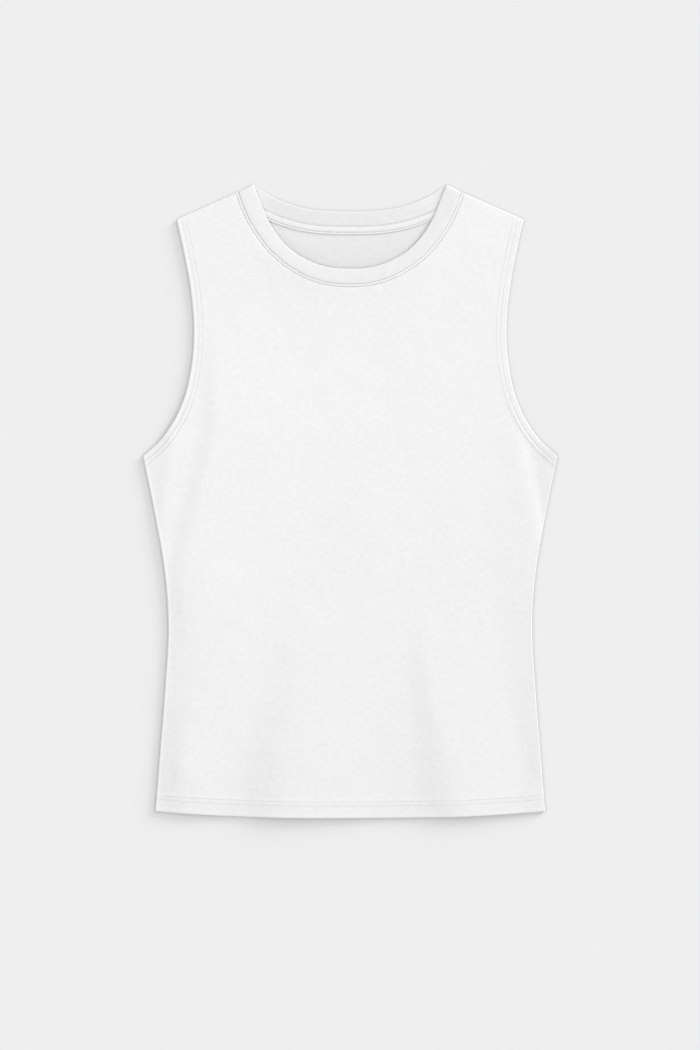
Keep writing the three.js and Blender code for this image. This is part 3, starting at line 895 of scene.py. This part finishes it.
def make_tape():
    along = np.linspace(TAPE_END, back_neck.length - TAPE_END, TAPE_POINTS)
    across = spaced((0, 0.15), (1.5, 0.6), (5.7, 0.22), (7.5, 0.4), (7.9, 0.1), (TAPE_WIDTH, 1))
    grid_along, grid_across = np.meshgrid(along, across[::-1])
    place = back_neck.beside(grid_along, TAPE_TUCK - grid_across)
    by_seam, by_edge, length = TAPE_ROUNDS
    rounding = mix(by_seam, by_edge, ease(grid_across / length))
    drop = edge_drop(np.minimum(grid_across, TAPE_WIDTH - grid_across), rounding)
    face = tape_face(grid_across, grid_along)
    points = np.concatenate([place, (face - drop)[..., None]], axis=-1)
    normals = np.zeros_like(points)
    normals[..., 2] = 1
    thickness = face - 2 * drop - (BACK_LOW + CLOTH + TAPE_UNDER)
    grain = np.stack([grid_along, grid_across, 0 * grid_along], axis=-1)
    apart = (TAPE_ROWS[1] - TAPE_ROWS[0]) / ROW_SPACING
    from_row = (grid_across - TAPE_ROWS[0]) / apart
    sewn = np.stack([grid_along, from_row, np.full_like(grid_along, TAPE_HOLES)], axis=-1)
    return shell_object("neck_tape", points, normals, thickness, {"grain": grain, "sewn": sewn})


def stitch_shape():
    """One stitch's points and faces, with its length along X."""
    length, width, height = STITCH
    bend, low_ends = STITCH_DIP
    points = [(-length / 2, 0, -low_ends)]
    for place, size in STITCH_RINGS:
        for k in range(STITCH_SIDES):
            turn = 2 * math.pi * k / STITCH_SIDES
            aside = math.cos(turn) * size * width / 2
            up = math.sin(turn) * size * height / 2 - bend * place * place
            points.append((place * length / 2, aside, up))
    points.append((length / 2, 0, -low_ends))

    faces = []
    last_ring = 1 + (len(STITCH_RINGS) - 1) * STITCH_SIDES
    for k in range(STITCH_SIDES):
        after = (k + 1) % STITCH_SIDES
        faces.append((0, 1 + after, 1 + k))
        for here in range(1, last_ring, STITCH_SIDES):
            there = here + STITCH_SIDES
            faces.append((here + k, here + after, there + after, there + k))
        faces.append((last_ring + k, last_ring + after, len(points) - 1))
    return np.array(points), faces


def make_stitches(name, rows):
    """One piece of thread between each pair of needle holes. Each row has its stitches' middles,
    directions and normals."""
    middles, forward, normals = (np.concatenate([row[k] for row in rows]) for k in range(3))
    side = np.cross(normals, forward)
    shape, faces = stitch_shape()
    points = middles[:, None] + sum(
        axis[:, None] * shape[None, :, k : k + 1] for k, axis in enumerate((forward, side, normals))
    )
    starts = range(0, len(middles) * len(shape), len(shape))
    every = [[start + corner for corner in face] for start in starts for face in faces]
    grain = np.broadcast_to(shape[None], points.shape) + middles[:, None] * STITCH_GRAIN
    return make_object(name, points.reshape(-1, 3), every, {"grain": grain})


def stitch_row(curve, distance, start, end, height):
    """Stitches beside a curve: at every pitch from start to end, at a height that a function
    gives."""
    count = int((end - start) / PITCH)
    along = (math.ceil(start / PITCH) + np.arange(count) + 0.5) * PITCH
    along = along[along < end - PITCH / 2]

    def place(lengths):
        flat = curve.beside(lengths, np.full(len(lengths), distance))
        return np.concatenate([flat, height(flat[:, 0], flat[:, 1])[:, None]], axis=1)

    forward = place(along + PITCH / 4) - place(along - PITCH / 4)
    forward /= np.linalg.norm(forward, axis=1, keepdims=True)
    aside = np.cross((0.0, 0.0, 1.0), forward)
    normals = np.cross(forward, aside)
    middles = place(along) + normals * THREAD_LIFT
    return middles, forward, normals / np.linalg.norm(normals, axis=1, keepdims=True)


def front_stitches():
    def height(x, y):
        return front_face(x, y, Sewing(x, y, front_neck)) + FRONT_THREAD_LIFT

    def row_beside(curve, distance, first, last):
        return stitch_row(curve, distance, first, curve.length - last, height)

    rows = [row_beside(front_neck, -NECK_ROW, ROW_ENDS["neck"], ROW_ENDS["neck"])]
    rows += [row_beside(hem, row, ROW_ENDS["hem"], ROW_ENDS["hem"]) for row in HEM_ROWS]
    for side, curve in armholes.items():
        for row in ARMHOLE_ROWS:
            first = ROW_ENDS["underarm"] - row / 3
            rows.append(row_beside(curve, side * row, first, ROW_ENDS["shoulder"]))
    kept = []
    for row in rows:
        x, y, _ = row[0].T
        inside = (inside_side(x, y) > THREAD_INSET) & (below_fold(x, y) > THREAD_INSET)
        kept.append([values[inside] for values in row])
    return make_stitches("front_stitches", kept)


def tape_stitches():
    first = TAPE_END + ROW_ENDS["tape"]
    last = back_neck.length - first
    between_holes = 20.5 * PITCH
    rows = []
    for row in TAPE_ROWS:
        level = float(tape_face(np.array(row), np.array(between_holes))) + TAPE_THREAD_LIFT

        def height(x, y, level=level):
            return np.full(len(x), level)

        rows.append(stitch_row(back_neck, TAPE_TUCK - row, first, last, height))
    return make_stitches("tape_stitches", rows)


class Nodes:
    """A short way to write a material's nodes."""

    def __init__(self, name):
        self.material = bpy.data.materials.new(name)
        self.material.use_nodes = True
        self.tree = self.material.node_tree
        self.shader = self.tree.nodes["Principled BSDF"]

    def put(self, value, socket):
        if isinstance(value, bpy.types.NodeSocket):
            self.tree.links.new(value, socket)
        else:
            socket.default_value = value

    def math(self, operation, *values):
        node = self.tree.nodes.new("ShaderNodeMath")
        node.operation = operation
        for value, socket in zip(values, node.inputs):
            self.put(value, socket)
        return node.outputs[0]

    def attribute(self, name):
        node = self.tree.nodes.new("ShaderNodeAttribute")
        node.attribute_name = name
        split = self.tree.nodes.new("ShaderNodeSeparateXYZ")
        self.tree.links.new(node.outputs["Vector"], split.inputs[0])
        return node.outputs["Vector"], split.outputs

    def scaled(self, vector, scale):
        node = self.tree.nodes.new("ShaderNodeMapping")
        node.inputs["Scale"].default_value = scale
        self.tree.links.new(vector, node.inputs["Vector"])
        return node.outputs[0]

    def noise(self, vector, scale, detail):
        node = self.tree.nodes.new("ShaderNodeTexNoise")
        self.tree.links.new(vector, node.inputs["Vector"])
        node.inputs["Scale"].default_value = scale
        node.inputs["Detail"].default_value = detail
        return node.outputs["Fac"]

    def finish(self, tone, white, finish, height, distance):
        """Give the shader its grey, its finish and its bump, and return the material."""
        grey = self.tree.nodes.new("ShaderNodeCombineColor")
        colour = self.math("MULTIPLY", tone, white)
        for socket in grey.inputs:
            self.put(colour, socket)
        bump = self.tree.nodes.new("ShaderNodeBump")
        bump.inputs["Strength"].default_value = 1.0
        bump.inputs["Distance"].default_value = distance
        self.tree.links.new(height, bump.inputs["Height"])
        roughness, sheen = finish
        settings = {
            "Base Color": grey.outputs[0],
            "Normal": bump.outputs[0],
            "Roughness": roughness,
            "Specular IOR Level": SPECULAR,
            "Sheen Weight": sheen,
            "Sheen Roughness": SHEEN_ROUGHNESS,
            "Sheen Tint": (1, 1, 1, 1),
        }
        for label, value in settings.items():
            self.put(value, self.shader.inputs[label])
        return self.material


def needle_holes(nodes):
    """How much of a needle hole a place is in, from the sewn attribute."""
    _, (along, across, strength) = nodes.attribute("sewn")
    step = nodes.math("FRACT", nodes.math("DIVIDE", along, PITCH))
    from_hole = nodes.math("MULTIPLY", nodes.math("PINGPONG", step, 0.5), PITCH)
    first = nodes.math("ABSOLUTE", across)
    second = nodes.math("ABSOLUTE", nodes.math("SUBTRACT", across, ROW_SPACING))
    from_row = nodes.math("MINIMUM", first, second)
    squares = (nodes.math("POWER", distance, 2.0) for distance in (from_hole, from_row))
    away = nodes.math("DIVIDE", nodes.math("SQRT", nodes.math("ADD", *squares)), HOLE_REACH)
    hole = nodes.math("SUBTRACT", 1.0, nodes.math("SMOOTH_MIN", away, 1.0, HOLE_SOFTNESS))
    return nodes.math("MULTIPLY", nodes.math("MAXIMUM", hole, 0.0), strength)


def jersey(name, white, sewn=True):
    """Fine slubby jersey: fine knit, crossed faint yarn streaks, soft mottling, needle holes with
    painted shade in them, and a painted shade that grows darker towards the hem."""
    nodes = Nodes(name)
    grain, (u, v, _) = nodes.attribute("grain")
    long_way, short_way = STREAK_STRETCH
    blobs = nodes.noise(grain, *BLOBS)
    across = nodes.noise(nodes.scaled(grain, (long_way, short_way, 1)), *STREAKS)
    along = nodes.noise(nodes.scaled(grain, (short_way, long_way, 1)), *STREAKS)
    clouds = nodes.noise(grain, *CLOUDS)
    halves = (nodes.math("MULTIPLY", streaks, 0.5) for streaks in (across, along))
    streaks = nodes.math("MULTIPLY", nodes.math("ADD", *halves), MOTTLE_MIX)
    mottle = nodes.math("ADD", nodes.math("MULTIPLY", blobs, MOTTLE_MIX), streaks)
    mottle = nodes.math("SUBTRACT", mottle, MOTTLE_MIX)
    # painted shade: the grey lightens up the garment and darkens towards the hem, standing in for
    # how the light falls on the cloth
    slope, bend = PAINTED_SHADE_RISE
    tone = nodes.math("MULTIPLY_ADD", mottle, MOTTLE_TONE, 1.0)
    tone = nodes.math("MULTIPLY_ADD", v, nodes.math("MULTIPLY_ADD", v, bend, slope), tone)
    tone = nodes.math("MULTIPLY_ADD", nodes.math("SUBTRACT", clouds, 0.5), CLOUD_TONE, tone)
    wale = nodes.math("SINE", nodes.math("MULTIPLY", u, math.pi / WALE_WIDTH))
    course = nodes.math("SINE", nodes.math("MULTIPLY", v, 2 * math.pi / COURSE_HEIGHT))
    knit = nodes.math("MULTIPLY_ADD", course, COURSE_SHARE, nodes.math("ABSOLUTE", wale))
    uneven = nodes.math("MULTIPLY", mottle, MOTTLE_HEIGHT)
    height = nodes.math("MULTIPLY_ADD", knit, KNIT_HEIGHT, uneven)
    if sewn:
        hole = needle_holes(nodes)
        # painted shade: the cloth in the needle holes is made darker
        tone = nodes.math("MULTIPLY", tone, nodes.math("MULTIPLY_ADD", hole, HOLE_PAINTED_SHADE, 1.0))
        height = nodes.math("MULTIPLY_ADD", hole, HOLE_HEIGHT, height)
    return nodes.finish(tone, white, CLOTH_FINISH, height, CLOTH_BUMP)


def thread(name, white):
    """Spun sewing thread, with its twist as fine slanting ridges."""
    nodes = Nodes(name)
    grain, (u, v, w) = nodes.attribute("grain")
    turning = nodes.math("MULTIPLY", nodes.math("ADD", v, w), TWIST[1])
    twist = nodes.math("SINE", nodes.math("ADD", nodes.math("MULTIPLY", u, TWIST[0]), turning))
    fuzz = nodes.noise(grain, *FUZZ)
    tone = nodes.math("MULTIPLY_ADD", fuzz, *FUZZ_TONE)
    tone = nodes.math("MULTIPLY_ADD", twist, TWIST_TONE, tone)
    height = nodes.math("ADD", twist, fuzz)
    return nodes.finish(tone, white, THREAD_FINISH, height, THREAD_BUMP)


def finish_piece(obj, material):
    obj.data.materials.append(material)
    return obj


outside = jersey("white_jersey_outside", OUTSIDE_WHITE)
# the back panel's darker grey is painted shade for the recessed neck opening
inside = jersey("white_jersey_inside_painted_shade", SHADED_INSIDE_WHITE)
band_cloth = jersey("white_jersey_band", BAND_WHITE, sewn=False)
tape_cloth = jersey("white_jersey_tape", OUTSIDE_WHITE)
sewing_thread = thread("white_sewing_thread", THREAD_WHITE)

front_panel = finish_piece(make_front(), outside)
back_panel = finish_piece(make_back(), inside)
neckband = finish_piece(make_neckband(), band_cloth)
neck_tape = finish_piece(make_tape(), tape_cloth)
front_thread = finish_piece(front_stitches(), sewing_thread)
tape_thread = finish_piece(tape_stitches(), sewing_thread)

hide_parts("front")
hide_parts("back")
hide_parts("neckband")
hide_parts("back_neck_tape")


def add_sun(name, share, elevation, azimuth, spread, bounces):
    data = bpy.data.lights.new(name, "SUN")
    data.energy = math.pi * IRRADIANCE * share / math.sin(math.radians(elevation))
    data.angle = math.radians(spread)
    data.cycles.max_bounces = bounces
    obj = bpy.data.objects.new(name, data)
    obj.rotation_euler = (0, math.radians(90 - elevation), math.radians(azimuth))
    bpy.context.scene.collection.objects.link(obj)


def make_floor():
    mesh = bpy.data.meshes.new("floor")
    low, high = -FLOOR_HALF, FLOOR_HALF
    corners = [(low, low, 0), (high, low, 0), (high, high, 0), (low, high, 0)]
    mesh.from_pydata(corners, [], [(0, 1, 2, 3)])
    floor = bpy.data.objects.new("floor", mesh)
    bpy.context.scene.collection.objects.link(floor)
    paint = bpy.data.materials.new("pale_floor")
    paint.use_nodes = True
    shader = paint.node_tree.nodes["Principled BSDF"]
    shader.inputs["Base Color"].default_value = (FLOOR_WHITE, FLOOR_WHITE, FLOOR_WHITE, 1)
    shader.inputs["Roughness"].default_value = 1.0
    shader.inputs["Specular IOR Level"].default_value = 0.0
    mesh.materials.append(paint)


def make_lights():
    for name, settings in SUNS.items():
        add_sun(name, *settings)
    world = bpy.data.worlds.new("studio")
    world.use_nodes = True
    sky = world.node_tree.nodes["Background"]
    sky.inputs["Color"].default_value = (1, 1, 1, 1)
    sky.inputs["Strength"].default_value = IRRADIANCE * DOME_SHARE
    bpy.context.scene.world = world
    bpy.context.scene.view_settings.view_transform = "Standard"


def make_camera():
    data = bpy.data.cameras.new("camera")
    data.sensor_width = SENSOR_WIDTH
    data.lens = data.sensor_width * CAMERA_HEIGHT / FRAME_HEIGHT
    data.clip_end = CAMERA_FAR
    obj = bpy.data.objects.new("camera", data)
    obj.location = (*FRAME_CENTRE, CAMERA_HEIGHT)
    bpy.context.scene.collection.objects.link(obj)
    bpy.context.scene.camera = obj


make_floor()
make_lights()
make_camera()
